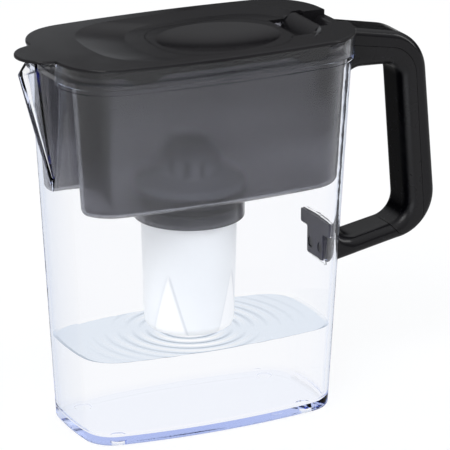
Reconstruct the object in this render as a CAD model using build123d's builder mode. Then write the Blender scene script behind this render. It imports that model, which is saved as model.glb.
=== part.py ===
from build123d import *
from math import sqrt
import os

os.makedirs("parts", exist_ok=True)

# Water filter pitcher. The origin is the centre of the base on the table, +X points to the handle,
# -X to the spout, and the long sides face +Y and -Y. All sizes are in millimetres.

# Jug: plan at the base and at the ledge under the rim band
base_length = 180.0
base_width = 93.5
base_end_bow = 3.0
base_side_bow = 8.5
base_corner = 21.0
rim_length = 207.0
rim_width = 118.0
rim_end_bow = 6.0
rim_side_bow = 6.5
rim_corner = 34.0
rim_z = 260.0
band_height = 15.5
jug_wall = 2.5
jug_floor = 4.5
band_proud = 2.0
band_wall = 2.2
inner_ledge_rise = 2.3
base_edge = 2.5
floor_edge = 5.0
dimple_radius = 5.0
dimple_depth = 0.8
dimple_x = 68.0
dimple_y = 29.0

# Spout: a V-shaped prow that grows out of the front wall
spout_height = 94.0
spout_half_width = 21.0
spout_reach = 23.6
spout_wall_side = 2.6
spout_wall_nose = 3.0
spout_nose_radius = 5.2
mouth_drop = 14.1

# Jug's fittings for the handle on the rear wall: a T-shaped pocket, and a tongue under the rim
foot_head_half = 21.4
foot_stem_half = 11.7
foot_top_z = 123.4
foot_head_height = 9.6
foot_height = 28.5
foot_thick = 5.6
foot_stand = 0.3
foot_corner = 1.5
foot_gap = 0.25
pocket_wall = 2.4
tongue_half = 5.0
tongue_drop = 22.0
tongue_height = 11.0
tongue_length = 8.0
tongue_head = 3.0
tongue_head_half = 8.0

# Handle: corners of its side profile, by their reach behind the rim, and their drop below the rim
# or their rise above the foot's lower end
handle_width = 32.0
handle_top_rise = 0.7
back_top_reach = 61.7
back_top_drop = 15.0
back_low_reach = 73.7
back_low_rise = 14.2
handle_back_radius = 31.0
handle_low_drop = 4.1
gap_top_root_reach = 3.5
gap_top_root_drop = 32.5
gap_top_back_reach = 43.0
gap_top_back_drop = 34.0
gap_low_back_reach = 51.7
gap_low_back_rise = 21.6
gap_low_root_reach = 0.3
gap_low_root_rise = 12.1
gap_root_radius = 14.0
gap_top_radius = 10.0
gap_low_radius = 15.0
root_up_drop = 54.0
root_low_rise = 27.1
seam_start_drop = 9.4
seam_top_margin = 7.6
seam_top_drop = 23.7
seam_low_margin = 9.8
seam_low_rise = 11.6
seam_turn_margin = 7.2
seam_end_run = 15.0
seam_end_climb = 17.5
seam_radii = [22.0, 15.5, 6.0]
seam_gap = 0.25
handle_edge = 5.0
grip_edge = 8.0
handle_wall = 2.6
root_wall = 4.1
root_gap = 0.3
screw_radius = 1.75
screw_gap = 0.05
screw_head_radius = 3.6
screw_head = 2.2
screw_length = 15.0
screw_rise = 8.0
screw_y = 7.0
screw_sink = 0.6
boss_wall = 2.4
boss_length = 8.0

# Reservoir: a hopper that hangs by its flange on the jug's inner ledge
hopper_gap = 1.5
hopper_wall = 2.0
hopper_depth = 102.0
hopper_edge = 6.0
channel_depth = 25.7
channel_half = 22.4
channel_lobe = 7.0
channel_corner = 4.0
flange_thick = 3.2
flange_gap = 0.5
coaming_drop = 5.4
coaming_notch_gap = 1.2
collar_radius = 37.0
collar_wall = 2.4
collar_height = 19.0

# Filter, on its own upright axis
filter_x = -2.5
canister_low_radius = 30.0
canister_top_radius = 32.4
canister_height = 96.0
canister_wall = 1.8
canister_edge = 6.0
filter_flange_radius = 36.6
filter_flange = 2.4
outlet_radius = 21.0
outlet_thick = 2.0
outlet_lap = 2.0
outlet_slots = 8
outlet_slot_width = 2.4
neck_radius = 20.0
neck_shoulder = 4.0
neck_height = 23.0
cap_top_radius = 13.5
cap_height = 33.0
cap_wall = 1.6
cap_slots = 12
cap_slot_width = 2.6
seal_height = 5.0
seal_depth = 12.0
seal_gap = 0.05
screen_thick = 0.6
resin_height = 42.0
felt_thick = 5.0
bed_gap = 0.15

# Lid
lid_overhang = 0.6
lid_thick = 2.0
lid_skin = 2.2
lid_edge = 1.0
beak_half_width = 20.8
beak_reach = 17.5
dish_front_margin = 28.5
dish_rear_margin = 18.5
dish_side_margin = 7.0
dish_end_bow = 9.0
dish_side_bow = 5.0
dish_corner = 38.0
dish_depth = 4.5
dish_ramp = 34.0
dish_slope = 5.0
dish_rear_slope = 3.0
skirt_gap = 0.5
skirt_wall = 1.8
skirt_depth = 5.0
tab_depth = 9.6
tab_margin = 44.5
tab_corner = 2.0
tab_top_half = 14.0
tab_low_half = 7.0
scoop_half_width = 16.0
scoop_depth = 8.8
scoop_run = 7.0
scoop_round = 4.0
sill_depth = 3.8
sill_run = 3.5
saddle_wall = 1.5
saddle_thick = 1.3
saddle_gap = 0.3

# Fill door, its thumb lever and its hinge
door_length = 93.0
door_rear_margin = 19.0
door_side_margin = 14.0
door_end_bow = 6.0
door_side_bow = 5.0
door_corner = 28.0
door_gap = 0.4
door_thick = 1.8
door_sag = 3.5
door_sag_margin = 4.0
door_seat = 2.5
door_seat_thick = 2.0
door_lift = 0.2
hinge_margin = 22.5
hinge_depth = 6.8
pin_radius = 1.5
pin_clearance = 0.06
lug_width = 3.6
lug_radius = 4.0
lever_half_width = 19.6
lever_depth = 11.2
lever_rise = 6.1
neck_half_width = 19.4
neck_thick = 1.8
lever_slot_gap = 0.6
lever_swing = 8.4
lever_bulge_x = 3.4
lever_bulge_z = 5.0
lever_top_width = 2.6
lever_edge = 0.6
neck_drop = 2.5
neck_lap = 6.0

# How far a cutting form passes the piece that it cuts
overcut = 5.0

# Heights and places that follow from the sizes above
ledge_z = rim_z - band_height
inner_ledge_z = ledge_z + inner_ledge_rise
rear_x = rim_length / 2
band_x = rear_x + band_proud
band_inset = band_wall - band_proud
spout_root_z = rim_z - spout_height
mouth_nose_x = -rear_x - spout_reach
foot_shoulder_z = foot_top_z - foot_head_height
foot_bottom_z = foot_top_z - foot_height
screw_z = foot_bottom_z + screw_rise
tongue_low_z = rim_z - tongue_drop
tongue_end_x = band_x + tongue_length
seam_top_reach = back_top_reach - seam_top_margin
seam_low_reach = back_low_reach - seam_low_margin
seam_turn_reach = gap_low_back_reach - seam_turn_margin
seam_end_reach = seam_turn_reach - seam_end_run
seam_end_rise = seam_low_rise + seam_end_climb
root_up_z = rim_z - root_up_drop
root_low_z = foot_bottom_z + root_low_rise
flange_z = inner_ledge_z
flange_top_z = flange_z + flange_thick
hopper_inset = jug_wall + hopper_gap
hopper_floor_z = rim_z - hopper_depth
collar_low_z = hopper_floor_z - collar_height
canister_low_z = hopper_floor_z - canister_height
seat_z = hopper_floor_z + hopper_wall
cap_z = seat_z + filter_flange
neck_top_z = hopper_floor_z + neck_height
cap_top_z = hopper_floor_z + cap_height
seal_low_z = hopper_floor_z - seal_depth
resin_top_z = canister_low_z + resin_height
lid_top_z = rim_z + lid_thick
lid_half_length = band_x + lid_overhang
dish_front_x = dish_front_margin - rear_x
dish_rear_x = rear_x - dish_rear_margin
dish_half_width = rim_width / 2 - dish_side_margin
dish_floor_z = lid_top_z - dish_depth
skirt_low_z = rim_z - skirt_depth
tab_low_z = rim_z - tab_depth
tab_x = rear_x - tab_margin
door_rear_x = dish_rear_x - door_rear_margin
door_front_x = door_rear_x - door_length
door_half_width = dish_half_width - door_side_margin
hinge_x = rear_x - hinge_margin
hinge_z = lid_top_z - hinge_depth
lever_front_x = hinge_x - lever_depth / 2
lever_rear_x = hinge_x + lever_depth / 2
lever_top_z = hinge_z + lever_rise
neck_top = hinge_z - neck_drop
slot_half = lever_half_width + lever_slot_gap
slot_rear_x = hinge_x + lever_swing
block_half = slot_half + lug_width
scoop_floor_z = lid_top_z - scoop_depth
sill_z = lid_top_z - sill_depth
saddle_half = scoop_half_width + saddle_wall


def bowed_outline(length, width, end_bow, side_bow, corner):
    """A rounded rectangle whose four sides bow outwards by the given amounts."""
    half_x = length / 2 - end_bow
    half_y = width / 2 - side_bow
    with BuildSketch() as outline:
        with BuildLine():
            ThreePointArc((-half_x, -half_y), (0, -width / 2), (half_x, -half_y))
            ThreePointArc((half_x, -half_y), (length / 2, 0), (half_x, half_y))
            ThreePointArc((half_x, half_y), (0, width / 2), (-half_x, half_y))
            ThreePointArc((-half_x, half_y), (-length / 2, 0), (-half_x, -half_y))
        make_face()
        fillet(outline.vertices(), corner)
    return outline.sketch


def tapered(low, high, z):
    """A size of the jug at height z, between its value at the base and at the ledge."""
    return low + (high - low) * z / ledge_z


def jug_length(z):
    return tapered(base_length, rim_length, z)


def jug_width(z):
    return tapered(base_width, rim_width, z)


def jug_plan(z, inset):
    """The jug's outer plan at height z, drawn in by inset, or pushed out where inset is negative."""
    return bowed_outline(
        jug_length(z) - 2 * inset,
        jug_width(z) - 2 * inset,
        tapered(base_end_bow, rim_end_bow, z),
        tapered(base_side_bow, rim_side_bow, z),
        tapered(base_corner, rim_corner, z) - inset,
    )


def jug_form(low_z, high_z, inset):
    """The jug's tapered form between two heights, drawn in by inset."""
    with BuildPart() as form:
        with BuildSketch(Plane.XY.offset(low_z)):
            add(jug_plan(low_z, inset))
        with BuildSketch(Plane.XY.offset(high_z)):
            add(jug_plan(high_z, inset))
        loft(ruled=True)
    return form.part


def rim_ring(low_z, high_z, outer_inset, inner_inset):
    """A ring that follows the rim, between two insets from the ledge's plan."""
    with BuildPart() as ring:
        with BuildSketch(Plane.XY.offset(low_z)):
            add(jug_plan(ledge_z, outer_inset))
            add(jug_plan(ledge_z, inner_inset), mode=Mode.SUBTRACT)
        extrude(amount=high_z - low_z)
    return ring.part


def spout_plan(z, side_wall, nose_wall, back):
    """The spout's V at height z: side_wall and nose_wall draw it in, back carries it into the jug."""
    rise = (z - spout_root_z) / (rim_z - spout_root_z)
    half = spout_half_width * sqrt(rise) - side_wall
    nose = -jug_length(z) / 2 - spout_reach * rise + nose_wall
    root = -jug_length(z) / 2 + back
    with BuildSketch() as plan:
        with BuildLine():
            Polyline((root, -half), (root, half), (nose, 0), close=True)
        make_face()
        fillet(plan.vertices().sort_by(Axis.X)[0], spout_nose_radius * rise)
    return plan.sketch


def spout_form(side_wall, nose_wall, back, first_rise):
    """The spout's prow, lofted through three heights."""
    span = rim_z - spout_root_z
    with BuildPart() as form:
        for share in (first_rise, 0.45, 1.0):
            height = spout_root_z + share * span
            with BuildSketch(Plane.XY.offset(height)):
                add(spout_plan(height, side_wall, nose_wall, back))
        loft()
    return form.part


foot_face_x = jug_length(foot_top_z) / 2 + foot_stand
channel_back_x = hopper_inset + channel_depth - jug_length(hopper_floor_z) / 2


def foot_plan(gap):
    """The T of the handle's foot, seen along X, grown by gap."""
    with BuildSketch() as plan:
        with BuildLine():
            Polyline(
                (-foot_head_half - gap, foot_shoulder_z - gap),
                (-foot_head_half - gap, foot_top_z + gap),
                (foot_head_half + gap, foot_top_z + gap),
                (foot_head_half + gap, foot_shoulder_z - gap),
                (foot_stem_half + gap, foot_shoulder_z - gap),
                (foot_stem_half + gap, foot_bottom_z - gap),
                (-foot_stem_half - gap, foot_bottom_z - gap),
                (-foot_stem_half - gap, foot_shoulder_z - gap),
                close=True,
            )
        make_face()
        fillet(plan.vertices(), foot_corner)
    return plan.sketch


# Clear jug: cavity first, with its rounded floor, then the wall round it
with BuildPart() as jug_cavity:
    add(jug_form(jug_floor, inner_ledge_z, jug_wall))
    fillet(jug_cavity.edges().group_by(Axis.Z)[0], floor_edge)
    with BuildSketch(Plane.XY.offset(inner_ledge_z)):
        add(jug_plan(ledge_z, band_inset))
    extrude(amount=rim_z - inner_ledge_z + overcut)
    add(spout_form(spout_wall_side, spout_wall_nose, jug_wall + 1.5, 0.12))

with BuildPart() as jug_body:
    add(jug_form(0, ledge_z, 0))
    fillet(jug_body.edges().group_by(Axis.Z)[0], base_edge)
    with BuildSketch(Plane.XY.offset(ledge_z)):
        add(jug_plan(ledge_z, -band_proud))
    extrude(amount=rim_z - ledge_z)
    add(spout_form(0, 0, jug_wall / 2, 0.02))
    add(jug_cavity.part, mode=Mode.SUBTRACT)
    # pocket for the handle's foot, closed towards the water
    with BuildSketch(Plane.YZ.offset(foot_face_x - foot_stand - jug_wall / 2)):
        add(foot_plan(foot_gap + pocket_wall))
    extrude(amount=-(foot_thick + foot_gap + pocket_wall - foot_stand - jug_wall / 2))
    with BuildSketch(Plane.YZ.offset(foot_face_x + overcut)):
        add(foot_plan(foot_gap))
    extrude(amount=-(foot_thick + foot_gap + overcut), mode=Mode.SUBTRACT)
    # the pouring lip slopes down to the nose
    with BuildSketch(Plane.XZ):
        with BuildLine():
            Polyline(
                (jug_wall - rear_x, rim_z + overcut),
                (jug_wall - rear_x, rim_z),
                (mouth_nose_x, rim_z - mouth_drop),
                (mouth_nose_x - overcut, rim_z - mouth_drop),
                (mouth_nose_x - overcut, rim_z + overcut),
                close=True,
            )
        make_face()
    extrude(amount=spout_half_width + 0.1, both=True, mode=Mode.SUBTRACT)
    # four shallow moulding marks in the flat underside
    with BuildSketch(Plane.XY):
        with GridLocations(2 * dimple_x, 2 * dimple_y, 2, 2):
            Circle(dimple_radius)
    extrude(amount=dimple_depth, mode=Mode.SUBTRACT)
    # notch in the band's rear for the saddle under the lid's thumb scoop
    with BuildSketch(Plane.XY.offset(sill_z - saddle_thick - saddle_gap)):
        with Locations((band_x + overcut, 0)):
            Rectangle(
                2 * overcut + band_proud, 2 * (saddle_half + saddle_gap),
                align=(Align.MAX, Align.CENTER),
            )
    extrude(amount=2 * overcut, mode=Mode.SUBTRACT)
    # tongue under the rim that the handle's two shells close round
    with BuildSketch(Plane.XY.offset(tongue_low_z)):
        with Locations((rear_x - jug_wall / 2, 0)):
            Rectangle(tongue_end_x - rear_x + jug_wall / 2, 2 * tongue_half,
                      align=(Align.MIN, Align.CENTER))
        with Locations((tongue_end_x, 0)):
            Rectangle(tongue_head, 2 * tongue_head_half, align=(Align.MAX, Align.CENTER))
    extrude(amount=tongue_height)
    add(jug_cavity.part, mode=Mode.SUBTRACT)
    jug_body.part.label = "jug_body"

export_step(jug_body.part, "parts/jug_body.step")


# Handle: one side profile, split by the seam into a back shell and a grip shell
def below_rim(reach, drop):
    """A profile corner by its reach behind the rim and its drop below it."""
    return (rear_x + reach, rim_z - drop)


def above_foot(reach, rise):
    """A profile corner by its reach behind the rim and its rise above the foot's lower end."""
    return (rear_x + reach, foot_bottom_z + rise)


def handle_side(inset):
    """The D handle's side profile, seen along Y, drawn in by inset."""
    front_x = rear_x - 4 * overcut
    top_z = rim_z + handle_top_rise
    low_z = foot_bottom_z - handle_low_drop
    with BuildSketch() as side:
        with BuildLine():
            FilletPolyline(
                (front_x, low_z),
                above_foot(back_low_reach, back_low_rise),
                below_rim(back_top_reach, back_top_drop),
                (front_x, top_z),
                radius=handle_back_radius,
            )
            Line((front_x, top_z), (front_x, low_z))
        make_face()
        with BuildLine():
            FilletPolyline(
                (rear_x - 3, root_low_z),
                above_foot(gap_low_root_reach, gap_low_root_rise),
                above_foot(gap_low_back_reach, gap_low_back_rise),
                below_rim(gap_top_back_reach, gap_top_back_drop),
                below_rim(gap_top_root_reach, gap_top_root_drop),
                (rear_x, root_up_z),
                radius=[gap_root_radius, gap_low_radius, gap_top_radius, gap_root_radius],
            )
            Polyline(
                (rear_x, root_up_z),
                (front_x - overcut, root_up_z),
                (front_x - overcut, root_low_z),
                (rear_x - 3, root_low_z),
            )
        make_face(mode=Mode.SUBTRACT)
        if inset:
            offset(amount=-inset, mode=Mode.REPLACE)
    return side.sketch


def grip_side(gap):
    """The part of the side profile inside the seam, drawn back from it by gap."""
    front_x = rear_x - 6 * overcut
    start_z = rim_z - seam_start_drop - gap
    top_x, top_z = below_rim(seam_top_reach - gap, seam_top_drop + gap)
    low_x, low_z = above_foot(seam_low_reach - gap, seam_low_rise + gap)
    turn_x = rear_x + seam_turn_reach + gap
    end_x, end_z = above_foot(seam_end_reach + gap, seam_end_rise + gap)
    with BuildSketch() as side:
        with BuildLine():
            FilletPolyline(
                (front_x, start_z),
                (top_x, top_z),
                (low_x, low_z),
                (turn_x, low_z),
                (end_x, end_z),
                radius=seam_radii,
            )
            Polyline((end_x, end_z), (front_x, end_z), (front_x, start_z))
        make_face()
    return side.sketch


def handle_solid(inset):
    """The whole handle with its rounded edges, drawn in by inset."""
    half = handle_width / 2 - inset
    with BuildPart() as solid:
        with BuildSketch(Plane.XZ):
            add(handle_side(inset))
        extrude(amount=half, both=True)
        gap_back_x = rear_x + gap_low_back_reach
        gap_low_z = foot_bottom_z + gap_low_root_rise
        gap_top_z = rim_z - gap_top_root_drop
        rims = solid.edges().filter_by(lambda e: abs(abs(e.center().Y) - half) < 0.01)
        rims = rims.filter_by(lambda e: e.center().X > rear_x - overcut)
        grips = rims.filter_by(
            lambda e: e.center().X < gap_back_x + inset + 1
            and gap_low_z - inset - 1 < e.center().Z < gap_top_z + inset + 1
        )
        fillet(grips, grip_edge - inset)
        outers = solid.edges().filter_by(lambda e: abs(abs(e.center().Y) - half) < 0.01)
        outers = outers.filter_by(lambda e: e.center().X > rear_x - overcut)
        outers = outers.filter_by(
            lambda e: e.center().X > gap_back_x + 1.5 * grip_edge
            or e.center().Z > gap_top_z + 1.5 * grip_edge
            or e.center().Z < gap_low_z - grip_edge + 1
        )
        fillet(outers, handle_edge - inset)
    return solid.part


# Everything that the handle's roots seat against: the jug's wall, its band, the lid's edge, the foot
with BuildPart() as root_seat:
    add(jug_form(root_low_z, ledge_z, -root_gap))
    with BuildSketch(Plane.XY.offset(ledge_z - root_gap)):
        add(jug_plan(ledge_z, -band_proud - root_gap))
    extrude(amount=rim_z - ledge_z + root_gap)
    with BuildSketch(Plane.XY.offset(rim_z - root_gap)):
        add(jug_plan(ledge_z, -band_proud - lid_overhang - root_gap))
    extrude(amount=lid_thick + overcut)
    with BuildSketch(Plane.XY):
        with Locations((foot_face_x, 0)):
            Rectangle(foot_face_x, rim_width, align=(Align.MAX, Align.CENTER))
    extrude(amount=root_low_z + root_gap)
    with BuildSketch(Plane.XY.offset(tongue_low_z - root_gap)):
        with Locations((tongue_end_x, 0)):
            Rectangle(tongue_end_x, 2 * (tongue_half + root_gap), align=(Align.MAX, Align.CENTER))
    extrude(amount=tongue_height + 2 * root_gap)

# The hollow that the two shells share, behind the root walls
with BuildPart() as handle_hollow:
    add(handle_solid(handle_wall))
    with BuildSketch(Plane.XY):
        with Locations((band_x + root_gap + root_wall, 0)):
            Rectangle(2 * back_low_reach, handle_width, align=(Align.MIN, Align.CENTER))
    extrude(amount=2 * rim_z, mode=Mode.INTERSECT)

handle_block = handle_solid(0)

with BuildPart() as handle_back_shell:
    add(handle_block)
    with BuildSketch(Plane.XZ):
        add(grip_side(0))
    extrude(amount=handle_width, both=True, mode=Mode.SUBTRACT)
    add(handle_hollow.part, mode=Mode.SUBTRACT)
    add(root_seat.part, mode=Mode.SUBTRACT)
    # bosses and holes for the foot's screws
    with BuildSketch(Plane.YZ.offset(band_x + root_wall)):
        with Locations((-screw_y, screw_z), (screw_y, screw_z)):
            Circle(screw_radius + boss_wall)
    extrude(amount=boss_length)
    with BuildSketch(Plane.YZ.offset(foot_face_x - 1)):
        with Locations((-screw_y, screw_z), (screw_y, screw_z)):
            Circle(screw_radius + screw_gap)
    extrude(amount=screw_length, mode=Mode.SUBTRACT)
    handle_back_shell.part.label = "handle_back_shell"

export_step(handle_back_shell.part, "parts/handle_back_shell.step")

with BuildPart() as handle_grip_shell:
    add(handle_block)
    with BuildSketch(Plane.XZ):
        add(grip_side(seam_gap))
    extrude(amount=handle_width, both=True, mode=Mode.INTERSECT)
    add(handle_hollow.part, mode=Mode.SUBTRACT)
    add(root_seat.part, mode=Mode.SUBTRACT)
    handle_grip_shell.part.label = "handle_grip_shell"

export_step(handle_grip_shell.part, "parts/handle_grip_shell.step")

screw_seat_x = foot_face_x - foot_thick + screw_sink + screw_head

# T-shaped foot with sunk holes for two screws, bonded into the jug's pocket
with BuildPart() as handle_foot:
    with BuildSketch(Plane.YZ.offset(foot_face_x)):
        add(foot_plan(0))
    extrude(amount=-foot_thick)
    with BuildSketch(Plane.YZ.offset(screw_seat_x)):
        with Locations((-screw_y, screw_z), (screw_y, screw_z)):
            Circle(screw_head_radius + 3 * screw_gap)
    extrude(amount=-foot_thick, mode=Mode.SUBTRACT)
    with BuildSketch(Plane.YZ.offset(foot_face_x + 1)):
        with Locations((-screw_y, screw_z), (screw_y, screw_z)):
            Circle(screw_radius + screw_gap)
    extrude(amount=-2 * foot_thick, mode=Mode.SUBTRACT)
    handle_foot.part.label = "handle_foot"

export_step(handle_foot.part, "parts/handle_foot.step")

# Two self-tapping screws, heads towards the jug
with BuildPart() as handle_screws:
    with BuildSketch(Plane.YZ.offset(screw_seat_x - screw_head)):
        with Locations((-screw_y, screw_z), (screw_y, screw_z)):
            Circle(screw_head_radius)
    extrude(amount=screw_head)
    with BuildSketch(Plane.YZ.offset(screw_seat_x)):
        with Locations((-screw_y, screw_z), (screw_y, screw_z)):
            Circle(screw_radius)
    extrude(amount=screw_length)
    handle_screws.part.label = "handle_screws"

export_step(handle_screws.part, "parts/handle_screws.step")


# Reservoir
def hopper_form(skin):
    """The hopper's outer form at skin 0, and its cavity at skin hopper_wall.

    An upright channel in its front end leaves the filtered water a way to the spout.
    """
    floor_z = hopper_floor_z + skin
    back_x = channel_back_x + skin
    half = channel_half + skin
    with BuildPart() as form:
        add(jug_form(floor_z, flange_top_z, hopper_inset + skin))
        with BuildSketch(Plane.XY.offset(floor_z)):
            with Locations((back_x, 0)):
                Rectangle(rear_x, 2 * half, align=(Align.MAX, Align.CENTER))
        extrude(amount=flange_top_z - floor_z, mode=Mode.SUBTRACT)
        sides = form.edges().filter_by(lambda e: abs(abs(e.center().Y) - half) < 0.01)
        sides = sides.filter_by(lambda e: floor_z + 1 < e.center().Z < flange_top_z - 1)
        fillet(sides.filter_by(lambda e: e.center().X < back_x - 1), channel_lobe - skin)
        corners = form.edges().filter_by(Axis.Z).filter_by(
            lambda e: abs(e.center().X - back_x) < 0.01
        )
        fillet(corners, channel_corner + skin)
        fillet(form.edges().group_by(Axis.Z)[0], hopper_edge - skin)
    return form.part


with BuildPart() as reservoir:
    add(hopper_form(0))
    with BuildSketch(Plane.XY.offset(flange_z)):
        add(jug_plan(ledge_z, band_inset + flange_gap))
    extrude(amount=flange_thick)
    with BuildSketch(Plane.XY.offset(collar_low_z)):
        with Locations((filter_x, 0)):
            Circle(collar_radius)
    extrude(amount=hopper_floor_z - collar_low_z + hopper_wall / 2)
    # rim wall above the flange, with a notch at the rear for the lid's hinge block
    add(rim_ring(flange_z, rim_z - coaming_drop, hopper_inset, hopper_inset + hopper_wall))
    with BuildSketch(Plane.XY.offset(flange_top_z)):
        with Locations((hinge_x, 0)):
            Rectangle(
                rear_x, 2 * (block_half + coaming_notch_gap), align=(Align.MIN, Align.CENTER)
            )
    extrude(amount=2 * overcut, mode=Mode.SUBTRACT)
    add(hopper_form(hopper_wall), mode=Mode.SUBTRACT)
    with BuildSketch(Plane.XY.offset(collar_low_z)):
        with Locations((filter_x, 0)):
            Circle(collar_radius - collar_wall)
    extrude(amount=hopper_floor_z - collar_low_z + 3 * hopper_wall, mode=Mode.SUBTRACT)
    fillet(reservoir.edges().filter_by(GeomType.CIRCLE).group_by(Axis.Z)[0], collar_wall / 4)
    reservoir.part.label = "reservoir"

export_step(reservoir.part, "parts/reservoir.step")

# Filter: every piece is turned about one upright axis, drawn as radius and height
filter_plane = Plane(origin=(filter_x, 0, 0), x_dir=(1, 0, 0), z_dir=(0, -1, 0))
filter_axis = Axis((filter_x, 0, 0), (0, 0, 1))


def canister_radius(z):
    """The canister's outer radius at height z."""
    share = (z - canister_low_z) / (seat_z - canister_low_z)
    return canister_low_radius + (canister_top_radius - canister_low_radius) * share


def bore_radius(z):
    return canister_radius(z) - canister_wall


with BuildPart() as filter_canister:
    with BuildSketch(filter_plane):
        with BuildLine():
            FilletPolyline(
                (outlet_radius, canister_low_z),
                (canister_low_radius, canister_low_z),
                (canister_top_radius, seat_z),
                radius=canister_edge,
            )
            Polyline(
                (canister_top_radius, seat_z),
                (filter_flange_radius, seat_z),
                (filter_flange_radius, cap_z),
                (bore_radius(seat_z), cap_z),
                (bore_radius(seat_z), seat_z),
            )
            FilletPolyline(
                (bore_radius(seat_z), seat_z),
                (bore_radius(canister_low_z), canister_low_z + canister_wall),
                (outlet_radius, canister_low_z + canister_wall),
                radius=canister_edge - canister_wall,
            )
            Line((outlet_radius, canister_low_z + canister_wall), (outlet_radius, canister_low_z))
        make_face()
    revolve(axis=filter_axis)
    filter_canister.part.label = "filter_canister"

export_step(filter_canister.part, "parts/filter_canister.step")

# Outlet grid: a ring with a slotted floor that plugs the canister's lower opening
with BuildPart() as filter_outlet:
    with BuildSketch(Plane.XY.offset(canister_low_z)):
        with Locations((filter_x, 0)):
            Circle(outlet_radius - bed_gap / 2)
    extrude(amount=outlet_thick)
    with BuildSketch(Plane.XY.offset(canister_low_z + canister_wall)):
        with Locations((filter_x, 0)):
            Circle(outlet_radius + outlet_lap)
    extrude(amount=outlet_thick - canister_wall + outlet_lap / 2)
    with BuildSketch(Plane.XY.offset(canister_low_z)):
        with Locations((filter_x, 0)):
            with PolarLocations(outlet_radius * 0.6, outlet_slots):
                SlotOverall(outlet_radius * 0.5, outlet_slot_width)
            Circle(outlet_slot_width)
    extrude(amount=outlet_thick + outlet_lap, mode=Mode.SUBTRACT)
    filter_outlet.part.label = "filter_outlet"

export_step(filter_outlet.part, "parts/filter_outlet.step")

# Cap: a flange, a shoulder and a neck with upright inlet slots under a domed top
neck_low_z = cap_z + filter_flange
shoulder_z = neck_low_z + neck_shoulder
with BuildPart() as filter_cap:
    with BuildSketch(filter_plane):
        with BuildLine():
            FilletPolyline(
                (filter_flange_radius, cap_z),
                (filter_flange_radius, neck_low_z),
                (neck_radius, shoulder_z),
                (neck_radius, neck_top_z),
                (cap_top_radius, cap_top_z),
                (0, cap_top_z),
                radius=[0.8, 3, 3, 4],
            )
            Polyline((0, cap_top_z), (0, cap_top_z - cap_wall))
            Polyline(
                (0, cap_top_z - cap_wall),
                (cap_top_radius - cap_wall / 2, cap_top_z - cap_wall),
                (neck_radius - cap_wall, neck_top_z),
                (neck_radius - cap_wall, shoulder_z - cap_wall / 2),
                (bore_radius(seat_z), neck_low_z - cap_wall / 2),
                (bore_radius(seat_z), cap_z),
                (filter_flange_radius, cap_z),
            )
        make_face()
    revolve(axis=filter_axis)
    with BuildSketch(Plane.XY.offset(shoulder_z + 1)):
        with Locations((filter_x, 0)):
            with PolarLocations(neck_radius - cap_wall / 2, cap_slots):
                Rectangle(3 * cap_wall, cap_slot_width)
    extrude(amount=neck_top_z - shoulder_z - 1, mode=Mode.SUBTRACT)
    filter_cap.part.label = "filter_cap"

export_step(filter_cap.part, "parts/filter_cap.step")

# Seal: a ring with one lip, between the canister and the collar's bore
collar_bore = collar_radius - collar_wall
with BuildPart() as filter_seal:
    with BuildSketch(filter_plane):
        with BuildLine():
            Polyline(
                (canister_radius(seal_low_z) + seal_gap, seal_low_z),
                (collar_bore - seal_gap, seal_low_z + 0.4 * seal_height),
                (collar_bore - seal_gap, seal_low_z + 0.6 * seal_height),
                (canister_radius(seal_low_z + seal_height) + seal_gap, seal_low_z + seal_height),
                close=True,
            )
        make_face()
    revolve(axis=filter_axis)
    filter_seal.part.label = "filter_seal"

export_step(filter_seal.part, "parts/filter_seal.step")


def media(name, low_z, high_z, gap):
    """A bed or pad that fills the canister's bore between two heights."""
    with BuildPart() as bed:
        with BuildSketch(filter_plane):
            with BuildLine():
                Polyline(
                    (0, low_z),
                    (bore_radius(low_z) - gap, low_z),
                    (bore_radius(high_z) - gap, high_z),
                    (0, high_z),
                    close=True,
                )
            make_face()
        revolve(axis=filter_axis)
        bed.part.label = name
    export_step(bed.part, f"parts/{name}.step")


outlet_screen_z = canister_low_z + canister_edge
felt_z = resin_top_z
carbon_z = felt_z + felt_thick
inlet_screen_z = cap_z - screen_thick
media("outlet_screen", outlet_screen_z, outlet_screen_z + screen_thick, bed_gap)
media("resin_bed", outlet_screen_z + screen_thick, resin_top_z, bed_gap)
media("felt_pad", felt_z, carbon_z, bed_gap)
media("carbon_bed", carbon_z, inlet_screen_z, bed_gap)
media("inlet_screen", inlet_screen_z, cap_z, bed_gap)

# Lid
def span_plan(low_x, high_x, half_width, end_bow, side_bow, corner):
    """A bowed outline given by its two ends along X and its half width."""
    outline = bowed_outline(high_x - low_x, 2 * half_width, end_bow, side_bow, corner)
    return outline.moved(Location(((low_x + high_x) / 2, 0, 0)))


def dish_form(skin):
    """The dished recess at skin 0, and the outside of its shell at skin lid_skin."""
    with BuildPart() as form:
        with BuildSketch(Plane.XY.offset(dish_floor_z - skin)):
            add(span_plan(
                dish_front_x + dish_ramp - skin, dish_rear_x - dish_rear_slope + skin,
                dish_half_width - dish_slope + skin,
                dish_end_bow, dish_side_bow, dish_corner + skin,
            ))
        with BuildSketch(Plane.XY.offset(lid_top_z)):
            add(span_plan(
                dish_front_x - skin, dish_rear_x + skin, dish_half_width + skin,
                dish_end_bow, dish_side_bow, dish_corner + skin,
            ))
        loft(ruled=True)
    return form.part


def door_plan(inset):
    return span_plan(
        door_front_x + inset, door_rear_x - inset, door_half_width - inset,
        door_end_bow, door_side_bow, door_corner - inset,
    )


def tab_side(centre):
    """One hanging tab, seen along Y."""
    with BuildSketch() as side:
        with BuildLine():
            Polyline(
                (centre - tab_top_half, skirt_low_z + 1),
                (centre - tab_top_half, skirt_low_z),
                (centre - tab_low_half, tab_low_z),
                (centre + tab_low_half, tab_low_z),
                (centre + tab_top_half, skirt_low_z),
                (centre + tab_top_half, skirt_low_z + 1),
                close=True,
            )
        make_face()
        fillet(side.vertices().group_by(Axis.Y)[0], tab_corner)
    return side.sketch


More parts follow.
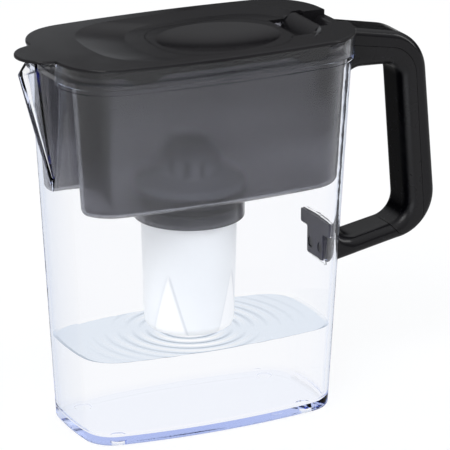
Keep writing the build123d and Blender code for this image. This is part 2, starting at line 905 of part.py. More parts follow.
with BuildPart() as lid_tabs:
    for centre in (-tab_x, tab_x):
        with BuildSketch(Plane.XZ):
            add(tab_side(centre))
        extrude(amount=rim_width, both=True)
    add(
        rim_ring(tab_low_z, skirt_low_z + 1, band_inset + skirt_gap, band_inset + skirt_gap + skirt_wall),
        mode=Mode.INTERSECT,
    )

with BuildPart() as lid_skirt:
    add(rim_ring(
        skirt_low_z, lid_top_z - lid_skin / 2,
        band_inset + skirt_gap, band_inset + skirt_gap + skirt_wall,
    ))
    # behind the rear tabs only the part behind the scoop is left
    with BuildSketch(Plane.XY.offset(skirt_low_z)):
        with Locations((tab_x + tab_top_half, 0)):
            Rectangle(rear_x, 2 * rim_width, align=(Align.MIN, Align.CENTER))
        Rectangle(2 * rim_length, 2 * block_half, mode=Mode.SUBTRACT)
    extrude(amount=lid_top_z - skirt_low_z, mode=Mode.SUBTRACT)

with BuildPart() as lid_shell:
    with BuildSketch(Plane.XY.offset(rim_z)):
        add(jug_plan(ledge_z, -band_proud - lid_overhang))
        with BuildLine():
            ThreePointArc(
                (-lid_half_length, -beak_half_width),
                (-lid_half_length - beak_reach, 0),
                (-lid_half_length, beak_half_width),
            )
            Polyline(
                (-lid_half_length, beak_half_width),
                (-lid_half_length + beak_half_width, beak_half_width),
                (-lid_half_length + beak_half_width, -beak_half_width),
                (-lid_half_length, -beak_half_width),
            )
        make_face()
    extrude(amount=lid_thick)
    fillet(lid_shell.faces().sort_by(Axis.Z)[-1].outer_wire().edges(), lid_edge)
    # the recess's shell, the block that carries the hinge and the scoop, and the skirt
    add(dish_form(lid_skin))
    with BuildSketch(Plane.XY.offset(scoop_floor_z - lid_skin)):
        with Locations((hinge_x - lug_radius, 0)):
            Rectangle(
                lid_half_length - lid_skin - hinge_x + lug_radius, 2 * block_half,
                align=(Align.MIN, Align.CENTER),
            )
        add(jug_plan(ledge_z, band_inset + skirt_gap + skirt_wall), mode=Mode.INTERSECT)
    extrude(amount=lid_top_z - lid_skin / 2 - scoop_floor_z + lid_skin)
    add(lid_skirt.part)
    add(lid_tabs.part)
    with BuildSketch(Plane.XY.offset(sill_z - saddle_thick)):
        with Locations((rear_x - skirt_wall, 0)):
            Rectangle(
                lid_half_length - rear_x + skirt_wall, 2 * saddle_half,
                align=(Align.MIN, Align.CENTER),
            )
        add(jug_plan(ledge_z, -band_proud - lid_overhang), mode=Mode.INTERSECT)
    extrude(amount=lid_top_z - lid_skin / 2 - sill_z + saddle_thick)
    # the door's seat hangs under the recess's floor
    with BuildSketch(Plane.XY.offset(dish_floor_z - lid_skin - door_seat_thick)):
        add(door_plan(-door_seat))
    extrude(amount=door_seat_thick)
    add(dish_form(0), mode=Mode.SUBTRACT)
    with BuildSketch(Plane.XZ):
        with BuildLine():
            FilletPolyline(
                (slot_rear_x - scoop_round, lid_top_z + 1),
                (slot_rear_x - scoop_round, scoop_floor_z),
                (slot_rear_x + scoop_run, scoop_floor_z),
                (rear_x - sill_run, sill_z),
                (lid_half_length + 1, sill_z),
                radius=scoop_round / 2,
            )
            Polyline(
                (lid_half_length + 1, sill_z),
                (lid_half_length + 1, lid_top_z + 1),
                (slot_rear_x - scoop_round, lid_top_z + 1),
            )
        make_face()
    extrude(amount=scoop_half_width, both=True, mode=Mode.SUBTRACT)
    # lugs for the hinge pin stand a little above the recess's floor
    with BuildSketch(Plane.XZ):
        with Locations((hinge_x, hinge_z)):
            Circle(lug_radius)
    extrude(amount=block_half, both=True)
    with BuildSketch(Plane.XY.offset(scoop_floor_z - 4 * lid_skin)):
        with Locations((door_rear_x - door_corner / 2, 0)):
            Rectangle(
                slot_rear_x - door_rear_x + door_corner / 2, 2 * slot_half,
                align=(Align.MIN, Align.CENTER),
            )
    extrude(amount=scoop_depth + 5 * lid_skin, mode=Mode.SUBTRACT)
    # opening, and the rebate that the door lies in
    with BuildSketch(Plane.XY.offset(dish_floor_z - lid_skin - door_seat_thick)):
        add(door_plan(door_seat))
    extrude(amount=dish_depth + lid_skin + door_seat_thick, mode=Mode.SUBTRACT)
    with BuildSketch(Plane.XY.offset(dish_floor_z - door_thick - door_lift)):
        add(door_plan(-door_gap))
    extrude(amount=dish_depth + lid_skin + door_seat_thick, mode=Mode.SUBTRACT)
    with BuildSketch(Plane.XZ):
        with Locations((hinge_x, hinge_z)):
            Circle(pin_radius + pin_clearance)
    extrude(amount=block_half + 1, both=True, mode=Mode.SUBTRACT)
    lid_shell.part.label = "lid_shell"

export_step(lid_shell.part, "parts/lid_shell.step")

# Fill door: a plate with a shallow bowl of two curvatures, and a neck that carries the lever
bowl_x = (door_front_x + door_rear_x) / 2
bowl_half_x = (door_rear_x - door_front_x) / 2 - door_sag_margin
bowl_half_y = door_half_width - door_sag_margin
bowl_radius_x = (bowl_half_x**2 + door_sag**2) / (2 * door_sag)
bowl_radius_y = (bowl_half_y**2 + door_sag**2) / (2 * door_sag)


def bowl_form(drop):
    """The space above the bowl's surface, lowered by drop."""
    low_z = dish_floor_z - door_sag - drop
    end_z = low_z + bowl_radius_x - sqrt(bowl_radius_x**2 - (bowl_half_x * 1.3) ** 2)
    with BuildPart() as form:
        with BuildSketch(Plane.XZ):
            with BuildLine():
                ThreePointArc(
                    (bowl_x - 1.3 * bowl_half_x, end_z), (bowl_x, low_z),
                    (bowl_x + 1.3 * bowl_half_x, end_z),
                )
                Polyline(
                    (bowl_x + 1.3 * bowl_half_x, end_z),
                    (bowl_x + 1.3 * bowl_half_x, low_z + 4 * door_sag),
                    (bowl_x - 1.3 * bowl_half_x, low_z + 4 * door_sag),
                    (bowl_x - 1.3 * bowl_half_x, end_z),
                )
            make_face()
        revolve(axis=Axis((bowl_x, 0, low_z + bowl_radius_y), (1, 0, 0)))
    return form.part


with BuildPart() as door_bowl:
    with BuildSketch(Plane.XY.offset(dish_floor_z - door_sag - 2 * door_thick)):
        add(door_plan(door_seat + door_gap))
    extrude(amount=door_sag + 1.5 * door_thick)
    add(bowl_form(door_thick), mode=Mode.INTERSECT)

with BuildPart() as fill_door:
    with BuildSketch(Plane.XY.offset(dish_floor_z - door_thick)):
        add(door_plan(0))
    extrude(amount=door_thick)
    add(door_bowl.part)
    # neck: down from the door's rear edge to the lever's seat
    with BuildSketch(Plane.XZ):
        with BuildLine():
            Polyline(
                (door_rear_x - neck_lap, dish_floor_z),
                (door_rear_x, dish_floor_z),
                (lever_front_x, neck_top),
                (lever_rear_x - 0.2, neck_top),
                (lever_rear_x - 0.2, neck_top - neck_thick),
                (lever_front_x - 0.5, neck_top - neck_thick),
                (door_rear_x - 1, dish_floor_z - door_thick),
                (door_rear_x - neck_lap, dish_floor_z - door_thick),
                close=True,
            )
        make_face()
    extrude(amount=neck_half_width, both=True)
    add(bowl_form(0), mode=Mode.SUBTRACT)
    fill_door.part.label = "fill_door"

export_step(fill_door.part, "parts/fill_door.step")

# Thumb lever: a bar with a rounded front, seated on the door's neck and bored for the pin
with BuildPart() as thumb_lever:
    with BuildSketch(Plane.XZ):
        with BuildLine():
            ThreePointArc(
                (lever_front_x, neck_top),
                (lever_front_x + lever_bulge_x, neck_top + lever_bulge_z),
                (lever_rear_x - lever_top_width - 1, lever_top_z),
            )
            Polyline(
                (lever_rear_x - lever_top_width - 1, lever_top_z),
                (lever_rear_x - 1, lever_top_z),
                (lever_rear_x, lever_top_z - 2.2),
                (lever_rear_x - 0.2, neck_top),
                (lever_front_x, neck_top),
            )
        make_face()
    extrude(amount=lever_half_width, both=True)
    fillet(thumb_lever.edges().filter_by(Axis.Y).group_by(Axis.Z)[-1], lever_edge)
    with BuildSketch(Plane.XZ):
        with Locations((hinge_x, hinge_z)):
            Circle(pin_radius + pin_clearance)
    extrude(amount=lever_half_width, both=True, mode=Mode.SUBTRACT)
    thumb_lever.part.label = "thumb_lever"

export_step(thumb_lever.part, "parts/thumb_lever.step")

with BuildPart() as hinge_pin:
    with BuildSketch(Plane.XZ):
        with Locations((hinge_x, hinge_z)):
            Circle(pin_radius)
    extrude(amount=block_half, both=True)
    chamfer(hinge_pin.edges().filter_by(GeomType.CIRCLE), pin_radius / 5)
    hinge_pin.part.label = "hinge_pin"

export_step(hinge_pin.part, "parts/hinge_pin.step")
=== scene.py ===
import math

import bmesh
import bpy
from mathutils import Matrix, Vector

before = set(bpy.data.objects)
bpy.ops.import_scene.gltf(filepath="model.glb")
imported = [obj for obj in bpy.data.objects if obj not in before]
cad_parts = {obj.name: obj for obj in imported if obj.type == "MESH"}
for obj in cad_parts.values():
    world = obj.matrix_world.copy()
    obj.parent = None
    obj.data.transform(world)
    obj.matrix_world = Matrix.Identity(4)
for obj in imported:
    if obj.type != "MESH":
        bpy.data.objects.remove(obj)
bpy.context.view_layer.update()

MM = 0.001

# Jug's plan at its base and at the ledge, for the water that stands in it (mm)
JUG_BASE = {"length": 180.0, "width": 93.5, "end_bow": 3.0, "side_bow": 8.5, "corner": 21.0}
JUG_RIM = {"length": 207.0, "width": 118.0, "end_bow": 6.0, "side_bow": 6.5, "corner": 34.0}
LEDGE_Z = 244.5
JUG_WALL = 2.5

# Water: its level, its gap to the wall and the rise there, and its drip rings (mm)
WATER_Z = 58.0
WATER_GAP = 0.3
MENISCUS = 0.8
MENISCUS_SHARE = 0.03
RING_PITCH = 9.5
RING_HEIGHT = 0.36
RING_REACH = 58.0
RING_START = 4.0

# Canister's axis and lower end, from the model (mm)
canister_corners = [Vector(corner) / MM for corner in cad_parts["filter_canister"].bound_box]
FILTER_X = sum(corner.x for corner in canister_corners) / len(canister_corners)
CANISTER_LOW = min(corner.z for corner in canister_corners)

# Tall facets painted round the canister as lit triangles with shaded edges: height in mm, angles in
# degrees
FACET_HEIGHT = 44.0
FACET_COUNT = 4
FACET_AT = 218.4
FACET_HALF = 25.0

# Heights between which the hopper's tone changes (mm)
HOPPER_WATERLINE = (186.0, 200.0)
COLLAR_TOP = (154.0, 160.0)
HOPPER_RIM = (244.0, 250.0)

# How often the moulded plastics shift in shade and in gloss, and the jug's wall waves, per metre
SHADE_SCALE = 14.0
GLOSS_SCALE = 55.0
WALL_WAVE_SCALE = 9.0

WHITE = (1.0, 1.0, 1.0)


# Nodes
def feed(tree, value, port):
    """Links a socket to an input, or sets the input to a plain number or colour."""
    if isinstance(value, bpy.types.NodeSocket):
        tree.links.new(value, port)
    elif port.type == "RGBA":
        port.default_value = (*value, 1)
    else:
        port.default_value = value


def set_inputs(tree, target, inputs):
    for name, value in inputs.items():
        feed(tree, value, target.inputs[name])


def add_node(tree, kind, inputs=None, **settings):
    """A new node with its settings and with inputs that are plain values or sockets."""
    made = tree.nodes.new(kind)
    for name, value in settings.items():
        setattr(made, name, value)
    set_inputs(tree, made, inputs or {})
    return made


def object_coords(tree):
    return add_node(tree, "ShaderNodeTexCoord").outputs["Object"]


def split_axes(tree, vector):
    """The three outputs X, Y and Z of a vector."""
    return add_node(tree, "ShaderNodeSeparateXYZ", {"Vector": vector}).outputs


def noise(tree, coords, scale, detail):
    inputs = {"Vector": coords, "Scale": scale, "Detail": detail}
    return add_node(tree, "ShaderNodeTexNoise", inputs).outputs["Fac"]


def ramp(tree, factor, between, values):
    """Runs from the first of values to the second as factor passes between two limits."""
    inputs = {
        "Value": factor,
        "From Min": between[0],
        "From Max": between[1],
        "To Min": values[0],
        "To Max": values[1],
    }
    return add_node(tree, "ShaderNodeMapRange", inputs).outputs["Result"]


def height_ramp(tree, heights, values):
    """Runs from the first of values to the second between two heights in mm."""
    height = split_axes(tree, object_coords(tree))["Z"]
    return ramp(tree, height, (heights[0] * MM, heights[1] * MM), values)


def math_node(tree, operation, *values):
    made = add_node(tree, "ShaderNodeMath", operation=operation)
    for value, port in zip(values, made.inputs):
        feed(tree, value, port)
    return made.outputs["Value"]


def mix(tree, kind, factor, first, second):
    """Blends two numbers or colours, plain or sockets, where kind is Float or Color."""
    made = add_node(tree, "ShaderNodeMix", data_type={"Float": "FLOAT", "Color": "RGBA"}[kind])
    ports = {port.identifier: port for port in (*made.inputs, *made.outputs)}
    feed(tree, factor, ports["Factor_Float"])
    feed(tree, first, ports["A_" + kind])
    feed(tree, second, ports["B_" + kind])
    return ports["Result_" + kind]


def mix_colour(tree, factor, first, second):
    return mix(tree, "Color", factor, first, second)


def mix_shader(tree, factor, first, second):
    made = add_node(tree, "ShaderNodeMixShader", {"Fac": factor})
    feed(tree, first, made.inputs[1])
    feed(tree, second, made.inputs[2])
    return made.outputs["Shader"]


def emission(tree, strength, colour=WHITE):
    inputs = {"Color": colour, "Strength": strength}
    return add_node(tree, "ShaderNodeEmission", inputs).outputs["Emission"]


def transparent(tree, colour):
    return add_node(tree, "ShaderNodeBsdfTransparent", {"Color": colour}).outputs["BSDF"]


def bump(tree, shader, height, depth):
    """Raises the surface by height, 0 to 1, times depth in metres."""
    made = add_node(tree, "ShaderNodeBump", {"Height": height, "Distance": depth, "Strength": 1.0})
    tree.links.new(made.outputs["Normal"], shader.inputs["Normal"])


def set_surface(tree, surface):
    tree.links.new(surface, tree.nodes["Material Output"].inputs["Surface"])


def new_material(name):
    """A material with its node tree and its Principled shader."""
    material = bpy.data.materials.new(name)
    material.use_nodes = True
    tree = material.node_tree
    return material, tree, tree.nodes["Principled BSDF"]


def bare_material(name):
    """A material with its node tree, which has no shader yet."""
    material, tree, shader = new_material(name)
    tree.nodes.remove(shader)
    return material, tree


# Moulded plastics
def moulded_plastic(name, dark, light, gloss, grain, depth, specular=0.5):
    """Slow shifts of colour and gloss, and a fine spark-eroded grain, depth metres deep."""
    material, tree, shader = new_material(name)
    coords = object_coords(tree)
    shade = noise(tree, coords, SHADE_SCALE, 2.0)
    patches = noise(tree, coords, GLOSS_SCALE, 4.0)
    finish = {
        "Base Color": mix_colour(tree, shade, dark, light),
        "Roughness": ramp(tree, patches, (0.3, 0.7), gloss),
        "Specular IOR Level": specular,
    }
    set_inputs(tree, shader, finish)
    bump(tree, shader, noise(tree, coords, grain, 2.0), depth)
    return material


def coloured_so_far(material):
    """A moulded plastic's node tree, its shader and the colour that it has up to now."""
    tree = material.node_tree
    shader = tree.nodes["Principled BSDF"]
    return tree, shader, shader.inputs["Base Color"].links[0].from_socket


def grip_with_painted_shade():
    """The grip's sides are satin; its face towards the fingers, picked out by the way it faces, is
    painted in blacker, duller shade.
    """
    material = moulded_plastic(
        "black_grip",
        dark=(0.0095, 0.0092, 0.0100),
        light=(0.0135, 0.0130, 0.0142),
        gloss=(0.24, 0.32),
        grain=700.0,
        depth=0.00002,
        specular=0.3,
    )
    tree, shader, sides = coloured_so_far(material)
    geometry = add_node(tree, "ShaderNodeNewGeometry")
    facing = split_axes(tree, geometry.outputs["Normal"])
    inner = ramp(tree, facing["X"], (-0.6, -0.8), (0.0, 1.0))
    near = ramp(tree, facing["Y"], (0.5, 0.15), (0.0, 1.0))
    # painted shade: faces turned towards the jug and away from the near side are made blacker and
    # duller
    painted_shade_face = math_node(tree, "MULTIPLY", inner, near)
    finish = {
        "Base Color": mix_colour(tree, painted_shade_face, sides, (0.0012, 0.0012, 0.0018)),
        "Specular IOR Level": ramp(tree, painted_shade_face, (0.0, 1.0), (0.3, 0.02)),
    }
    set_inputs(tree, shader, finish)
    return material


def white_with_painted_facets():
    """The canister's white, with tall facets painted round its lower half: lighter triangles, a
    painted light, with painted shade along their edges.
    """
    material = moulded_plastic(
        "canister_white",
        dark=(0.85, 0.875, 0.90),
        light=(0.88, 0.90, 0.92),
        gloss=(0.34, 0.46),
        grain=1200.0,
        depth=0.00003,
    )
    tree, shader, plain = coloured_so_far(material)
    place = split_axes(tree, object_coords(tree))

    # angle round the canister from the middle of the nearest triangle
    across = math_node(tree, "SUBTRACT", place["X"], FILTER_X * MM)
    angle = math_node(tree, "ARCTAN2", place["Y"], across)
    pitch = math.radians(360 / FACET_COUNT)
    turn = math.radians(360 - FACET_AT) + pitch / 2
    folded = math_node(tree, "FLOORED_MODULO", math_node(tree, "ADD", angle, turn), pitch)
    side = math_node(tree, "SUBTRACT", folded, pitch / 2)
    tip = CANISTER_LOW + FACET_HEIGHT
    half_width = height_ramp(tree, (CANISTER_LOW, tip), (math.radians(FACET_HALF), 0.0))
    inside = math_node(tree, "SUBTRACT", half_width, math_node(tree, "ABSOLUTE", side))

    # painted light: the triangles' faces are lighter, as if lit
    below_tip = height_ramp(tree, (tip - 1, tip), (1.0, 0.0))
    painted_lit_facet = math_node(tree, "MULTIPLY", ramp(tree, inside, (0.0, 0.02), (0.0, 1.0)), below_tip)
    faces = mix_colour(tree, painted_lit_facet, plain, (0.94, 0.95, 0.96))

    # painted shade: the edges are darker, most on the side away from the light
    line = ramp(tree, math_node(tree, "ABSOLUTE", inside), (0.012, 0.05), (1.0, 0.0))
    fading = height_ramp(tree, (tip - 4, tip), (1.0, 0.0))
    shadow = ramp(tree, side, (-0.05, 0.05), (0.15, 0.42))
    edge = math_node(tree, "MULTIPLY", math_node(tree, "MULTIPLY", line, fading), shadow)
    set_inputs(tree, shader, {"Base Color": mix_colour(tree, edge, faces, (0.50, 0.53, 0.58))})
    return material


black_satin = moulded_plastic(
    "black_satin",
    dark=(0.0070, 0.0067, 0.0076),
    light=(0.0100, 0.0096, 0.0108),
    gloss=(0.15, 0.21),
    grain=900.0,
    depth=0.00001,
    specular=0.36,
)
foot_plastic = moulded_plastic(
    "foot_plastic",
    dark=(0.012, 0.012, 0.028),
    light=(0.018, 0.018, 0.040),
    gloss=(0.3, 0.4),
    grain=800.0,
    depth=0.00004,
    specular=0.3,
)
filter_white = moulded_plastic(
    "filter_white",
    dark=(0.92, 0.935, 0.955),
    light=(0.96, 0.965, 0.975),
    gloss=(0.34, 0.46),
    grain=1200.0,
    depth=0.00003,
)


# Clear plastics and water
def clear_plastic(name, roughness, ior, shadow):
    """See-through plastic; lamps pass through it, dimmed to the colour called shadow."""
    material, tree, shader = new_material(name)
    finish = {"Roughness": roughness, "IOR": ior, "Transmission Weight": 1.0}
    set_inputs(tree, shader, finish)
    shadow_ray = add_node(tree, "ShaderNodeLightPath").outputs["Is Shadow Ray"]
    passing = transparent(tree, shadow)
    set_surface(tree, mix_shader(tree, shadow_ray, shader.outputs["BSDF"], passing))
    return material, tree, shader


def jug_plastic():
    """Clear, and bluer through a thick wall and where it is seen at a flat angle."""
    material, tree, shader = clear_plastic(
        "jug_clear", roughness=0.0, ior=1.2, shadow=(0.97, 0.975, 0.985)
    )
    tint = {"Color": (0.32, 0.46, 0.88), "Density": 12.0}
    absorbed = add_node(tree, "ShaderNodeVolumeAbsorption", tint).outputs["Volume"]
    tree.links.new(absorbed, tree.nodes["Material Output"].inputs["Volume"])
    bump(tree, shader, noise(tree, object_coords(tree), WALL_WAVE_SCALE, 1.0), depth=0.0004)
    facing = add_node(tree, "ShaderNodeLayerWeight").outputs["Facing"]
    flat = ramp(tree, facing, (0.55, 0.98), (0.0, 1.0))
    set_inputs(tree, shader, {"Base Color": mix_colour(tree, flat, WHITE, (0.62, 0.74, 0.94))})
    return material


def hopper_plastic():
    """Smoke grey, paler up to the water that stands in it, where the paler tint is painted light
    shining through the water, and darker at its rim.
    """
    material, tree, shader = clear_plastic(
        "hopper_smoke", roughness=0.22, ior=1.5, shadow=(0.5, 0.5, 0.52)
    )
    under_water = height_ramp(tree, HOPPER_WATERLINE, (1.0, 0.0))
    above_collar = height_ramp(tree, COLLAR_TOP, (0.0, 1.0))
    # painted light: the band that holds water is tinted paler, as if light glows through it
    painted_water_glow = math_node(tree, "MULTIPLY", under_water, above_collar)
    body = mix_colour(tree, painted_water_glow, (0.205, 0.205, 0.224), (0.32, 0.32, 0.35))
    rim = height_ramp(tree, HOPPER_RIM, (0.0, 1.0))
    set_inputs(tree, shader, {"Base Color": mix_colour(tree, rim, body, (0.11, 0.11, 0.13))})
    return material


def water_sheen():
    """Still water: nearly clear, with a painted grey reflection where it turns away and a painted
    white glint, glowing, where a ripple faces.
    """
    material, tree = bare_material("water_sheen")
    facing = add_node(tree, "ShaderNodeLayerWeight").outputs["Facing"]
    # painted reflection: grey in the see-through colour, and white light glowing where a ripple
    # faces
    painted_grey_reflection = ramp(tree, facing, (0.66, 0.80), (0.0, 1.0))
    painted_glint = ramp(tree, facing, (0.64, 0.5), (0.0, 0.9))
    passing = transparent(tree, mix_colour(tree, painted_grey_reflection, (0.81, 0.86, 0.915), (0.46, 0.52, 0.59)))
    set_surface(tree, mix_shader(tree, painted_glint, passing, emission(tree, 1.0)))
    return material


# Metal, filter media and rubber
def drawn_steel(name, dark, light):
    """Steel with fine streaks along Y."""
    material, tree, shader = new_material(name)
    stretch = {"Vector": object_coords(tree), "Scale": (1.0, 0.05, 1.0)}
    stretched = add_node(tree, "ShaderNodeMapping", stretch).outputs["Vector"]
    streaks = noise(tree, stretched, 2500.0, 3.0)
    finish = {
        "Metallic": 1.0,
        "Base Color": mix_colour(tree, streaks, dark, light),
        "Roughness": ramp(tree, streaks, (0.2, 0.8), (0.25, 0.42)),
    }
    set_inputs(tree, shader, finish)
    return material


def granules(name, first, second, scale, roughness):
    """Packed grains or beads, each with its own shade."""
    material, tree, shader = new_material(name)
    cells = add_node(tree, "ShaderNodeTexVoronoi", {"Vector": object_coords(tree), "Scale": scale})
    shade = add_node(tree, "ShaderNodeSeparateColor", {"Color": cells.outputs["Color"]})
    colour = mix_colour(tree, shade.outputs["Red"], first, second)
    set_inputs(tree, shader, {"Base Color": colour, "Roughness": roughness})
    bump(tree, shader, ramp(tree, cells.outputs["Distance"], (0.0, 0.6), (1.0, 0.0)), depth=0.0004)
    return material


def woven_cloth(name, first, second, pitch):
    """Fine plain weave: two crossed waves, about pitch metres apart."""
    material, tree, shader = new_material(name)
    coords = object_coords(tree)
    waves = []
    for axis in ("X", "Y"):
        inputs = {"Vector": coords, "Scale": 1 / (math.pi * pitch)}
        wave = add_node(tree, "ShaderNodeTexWave", inputs, bands_direction=axis)
        waves.append(wave.outputs["Fac"])
    weave = math_node(tree, "MAXIMUM", *waves)
    finish = {"Base Color": mix_colour(tree, weave, first, second), "Roughness": 0.85}
    set_inputs(tree, shader, finish)
    bump(tree, shader, weave, depth=0.0001)
    return material


steel = drawn_steel("drawn_steel", (0.50, 0.50, 0.51), (0.68, 0.68, 0.69))
blackened_steel = drawn_steel("blackened_steel", (0.020, 0.020, 0.026), (0.035, 0.035, 0.042))
carbon_grains = granules("carbon_grains", (0.008, 0.008, 0.008), (0.05, 0.05, 0.05), 900.0, 0.6)
resin_beads = granules("resin_beads", (0.55, 0.30, 0.06), (0.80, 0.52, 0.16), 1400.0, 0.3)
screen_cloth = woven_cloth("screen_cloth", (0.5, 0.5, 0.5), (0.86, 0.86, 0.84), 0.0006)
felt = moulded_plastic(
    "felt",
    dark=(0.66, 0.65, 0.61),
    light=(0.80, 0.79, 0.75),
    gloss=(0.85, 0.95),
    grain=2500.0,
    depth=0.0003,
    specular=0.2,
)
seal_rubber = moulded_plastic(
    "seal_rubber",
    dark=(0.55, 0.56, 0.57),
    light=(0.66, 0.67, 0.68),
    gloss=(0.5, 0.6),
    grain=1500.0,
    depth=0.00004,
)

FINISHES = {
    "jug_body": jug_plastic(),
    "handle_back_shell": black_satin,
    "handle_grip_shell": grip_with_painted_shade(),
    "handle_foot": foot_plastic,
    "handle_screws": blackened_steel,
    "reservoir": hopper_plastic(),
    "filter_canister": white_with_painted_facets(),
    "filter_outlet": filter_white,
    "filter_cap": filter_white,
    "filter_seal": seal_rubber,
    "inlet_screen": screen_cloth,
    "carbon_bed": carbon_grains,
    "felt_pad": felt,
    "resin_bed": resin_beads,
    "outlet_screen": screen_cloth,
    "lid_shell": black_satin,
    "hinge_pin": steel,
    "fill_door": black_satin,
    "thumb_lever": black_satin,
}
for name, material in FINISHES.items():
    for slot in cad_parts[name].material_slots:
        slot.material = material


# Water in the jug: contents, so it is staged
def inner_ring(z, inset, per_corner=10, per_side=24):
    """The jug's outline at height z, drawn in by inset (mm), as points round the plan."""
    share = z / LEDGE_Z
    plan = {name: base + (JUG_RIM[name] - base) * share for name, base in JUG_BASE.items()}
    half_length, half_width = plan["length"] / 2 - inset, plan["width"] / 2 - inset
    end_bow, side_bow = plan["end_bow"], plan["side_bow"]
    corner = plan["corner"] - inset

    # each end and side is an arc, with its centre on the X or Y axis
    half_x, half_y = half_length - end_bow, half_width - side_bow
    side_radius = (half_x**2 + side_bow**2) / (2 * side_bow)
    end_radius = (half_y**2 + end_bow**2) / (2 * end_bow)
    side_centre, end_centre = half_width - side_radius, half_length - end_radius

    # the corner's centre lies on both arcs, each drawn in by the corner's radius
    to_side, to_end = side_radius - corner, end_radius - corner
    span = math.hypot(end_centre, side_centre)
    along = (to_side**2 - to_end**2 + span**2) / (2 * span)
    across = math.sqrt(to_side**2 - along**2)
    unit_x, unit_y = end_centre / span, -side_centre / span
    crossings = [
        (
            unit_x * along - unit_y * across * turn,
            side_centre + unit_y * along + unit_x * across * turn,
        )
        for turn in (-1, 1)
    ]
    centre_x, centre_y = max(crossings, key=sum)

    start = math.atan2(centre_y, centre_x - end_centre)
    stop = math.atan2(centre_y - side_centre, centre_x)
    quarter = []
    for i in range(per_side // 2):
        angle = start * i / (per_side // 2)
        quarter.append((end_centre + end_radius * math.cos(angle), end_radius * math.sin(angle)))
    for i in range(per_corner + 1):
        angle = start + (stop - start) * i / per_corner
        quarter.append((centre_x + corner * math.cos(angle), centre_y + corner * math.sin(angle)))
    for i in range(1, per_side + 1):
        angle = stop + (math.pi / 2 - stop) * i / per_side
        quarter.append((side_radius * math.cos(angle), side_centre + side_radius * math.sin(angle)))
    ring = quarter[:-1]
    ring += [(-x, y) for x, y in reversed(quarter)][:-1]
    ring += [(-x, -y) for x, y in quarter][:-1]
    ring += [(x, -y) for x, y in reversed(quarter)][:-1]
    return ring


def ripple(radius):
    """Height of the drip rings (mm) at a distance from the filter's axis."""
    wave = math.sin(2 * math.pi * radius / RING_PITCH)
    fading = math.exp(-((radius / RING_REACH) ** 2))
    return RING_HEIGHT * wave * fading * min(1.0, radius / RING_START)


def meniscus(share):
    """Rise of the water (mm) close to the wall, at a share of the way out to it."""
    return MENISCUS * max(0.0, share - (1 - MENISCUS_SHARE)) / MENISCUS_SHARE


def make_water(steps=160):
    """The water's surface, with drip rings round the filter and a low rise at the wall."""
    mesh = bmesh.new()
    outer = inner_ring(WATER_Z, JUG_WALL + WATER_GAP)
    centre = mesh.verts.new((FILTER_X * MM, 0, WATER_Z * MM))
    previous = None
    for step in range(1, steps + 1):
        share = step / steps
        current = []
        for end_x, end_y in outer:
            out_x, out_y = (end_x - FILTER_X) * share, end_y * share
            z = WATER_Z + ripple(math.hypot(out_x, out_y)) + meniscus(share)
            current.append(mesh.verts.new(((FILTER_X + out_x) * MM, out_y * MM, z * MM)))
        for i in range(len(outer)):
            j = (i + 1) % len(outer)
            if previous is None:
                mesh.faces.new((centre, current[i], current[j]))
            else:
                mesh.faces.new((previous[i], current[i], current[j], previous[j]))
        previous = current
    data = bpy.data.meshes.new("water")
    mesh.to_mesh(data)
    mesh.free()
    for face in data.polygons:
        face.use_smooth = True
    data.materials.append(water_sheen())
    water = bpy.data.objects.new("water", data)
    bpy.context.scene.collection.objects.link(water)
    return water


make_water()


# Floor, light and camera
FLOOR_SIZE = 40.0
FLOOR_DROP = 0.0003
STUDIO_AIM = (0, 0, 0.13)
CAMERA_AT = (-1.0182, -2.1606, 0.9389)
CAMERA_AIM = (0.01971, -0.00951, 0.13026)
CAMERA_LENS = 304.6
SENSOR_WIDTH = 36.0


def light_path(tree):
    return add_node(tree, "ShaderNodeLightPath").outputs


def make_floor():
    """A pale floor, white to the camera but for its shadow, and dim where it is mirrored."""
    bpy.ops.mesh.primitive_plane_add(size=FLOOR_SIZE, location=(0, 0, -FLOOR_DROP))
    floor = bpy.context.object
    floor.name = "floor"
    material, tree, shader = new_material("pale_floor")
    finish = {"Base Color": (0.86, 0.87, 0.88), "Roughness": 0.7, "Specular IOR Level": 0.2}
    set_inputs(tree, shader, finish)
    ray = light_path(tree)
    matt = shader.outputs["BSDF"]
    mirrored = mix_shader(tree, ray["Is Glossy Ray"], matt, emission(tree, 0.4))
    to_camera = math_node(tree, "MULTIPLY", ray["Is Camera Ray"], 0.7)
    white_share = math_node(tree, "MAXIMUM", to_camera, ray["Is Transmission Ray"])
    set_surface(tree, mix_shader(tree, white_share, mirrored, emission(tree, 1.0)))
    floor.data.materials.append(material)


def make_world():
    """White to the camera and through clear plastic, and an even light on the object."""
    world = bpy.data.worlds.new("studio")
    bpy.context.scene.world = world
    world.use_nodes = True
    world.cycles.sampling_method = "NONE"
    tree = world.node_tree
    ray = light_path(tree)

    # mirrored straight from the object, the room is dim at the horizon and brighter overhead
    coords = add_node(tree, "ShaderNodeTexCoord").outputs["Generated"]
    overhead = ramp(tree, split_axes(tree, coords)["Z"], (0.17, 0.8), (0.0, 0.66))
    outside = math_node(tree, "LESS_THAN", ray["Transmission Depth"], 0.5)
    mirrored = math_node(tree, "MULTIPLY", ray["Is Glossy Ray"], outside)
    lighting = tree.nodes["Background"]
    strength = mix(tree, "Float", mirrored, 1.1, overhead)
    set_inputs(tree, lighting, {"Color": (0.97, 0.98, 1.0), "Strength": strength})

    white = add_node(tree, "ShaderNodeBackground", {"Color": WHITE}).outputs["Background"]
    seen = math_node(tree, "MAXIMUM", ray["Is Camera Ray"], ray["Is Transmission Ray"])
    sky = mix_shader(tree, seen, lighting.outputs["Background"], white)
    tree.links.new(sky, tree.nodes["World Output"].inputs["Surface"])


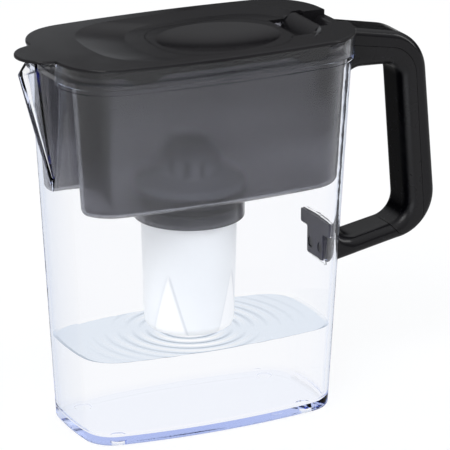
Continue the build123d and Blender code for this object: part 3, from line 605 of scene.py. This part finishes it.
def point_at(thing, place, aim):
    """Stands a lamp or camera at place, looking at aim."""
    thing.location = place
    thing.rotation_euler = (Vector(aim) - Vector(place)).to_track_quat("-Z", "Y").to_euler()
    bpy.context.scene.collection.objects.link(thing)


def softbox(name, place, width, height, power):
    data = bpy.data.lights.new(name, "AREA")
    data.shape = "RECTANGLE"
    data.size = width
    data.size_y = height
    data.energy = power
    point_at(bpy.data.objects.new(name, data), place, STUDIO_AIM)


def card_glow(name, strength):
    """Light that fades towards the card's four edges."""
    material, tree = bare_material(name)
    coords = add_node(tree, "ShaderNodeTexCoord").outputs["Generated"]
    place = split_axes(tree, coords)
    fades = []
    for axis in ("X", "Z"):
        from_edge = math_node(tree, "PINGPONG", place[axis], 0.5)
        fades.append(ramp(tree, from_edge, (0.0, 0.25), (0.0, 1.0)))
    fade = math_node(tree, "MULTIPLY", *fades)
    glow = ramp(tree, fade, (0.0, 1.0), (0.0, strength))
    set_surface(tree, emission(tree, glow, (0.93, 0.96, 1.0)))
    return material


def reflector(name, low, high, strength):
    """A standing card from one low corner to the other high one, seen only in reflections."""
    (x0, y0, z0), (x1, y1, z1) = low, high
    corners = [(x0, y0, z0), (x1, y1, z0), (x1, y1, z1), (x0, y0, z1)]
    data = bpy.data.meshes.new(name)
    data.from_pydata(corners, [], [(0, 1, 2, 3)])
    data.materials.append(card_glow(name, strength))
    card = bpy.data.objects.new(name, data)
    bpy.context.scene.collection.objects.link(card)
    card.visible_camera = False
    card.visible_diffuse = False
    card.visible_transmission = False
    card.visible_shadow = False


def make_camera():
    data = bpy.data.cameras.new("camera")
    data.lens = CAMERA_LENS
    data.sensor_width = SENSOR_WIDTH
    camera = bpy.data.objects.new("camera", data)
    point_at(camera, CAMERA_AT, CAMERA_AIM)
    bpy.context.scene.camera = camera


make_floor()
make_world()
reflector("front_card", (-0.46, -0.36, -0.02), (0.15, -0.36, 0.21), strength=1.5)
reflector("lid_card", (-0.15, 0.5, 0.24), (0.24, 0.5, 0.42), strength=0.5)
softbox("key", (-1.4, -1.2, 1.9), width=1.2, height=1.2, power=20.0)
softbox("side", (1.9, -0.9, 1.1), width=0.5, height=1.4, power=7.0)
make_camera()

# The clear walls are crossed many times on a ray's way through the jug
scene = bpy.context.scene
scene.view_settings.view_transform = "Standard"
scene.cycles.max_bounces = 32
scene.cycles.glossy_bounces = 24
scene.cycles.transmission_bounces = 24
scene.cycles.transparent_max_bounces = 24
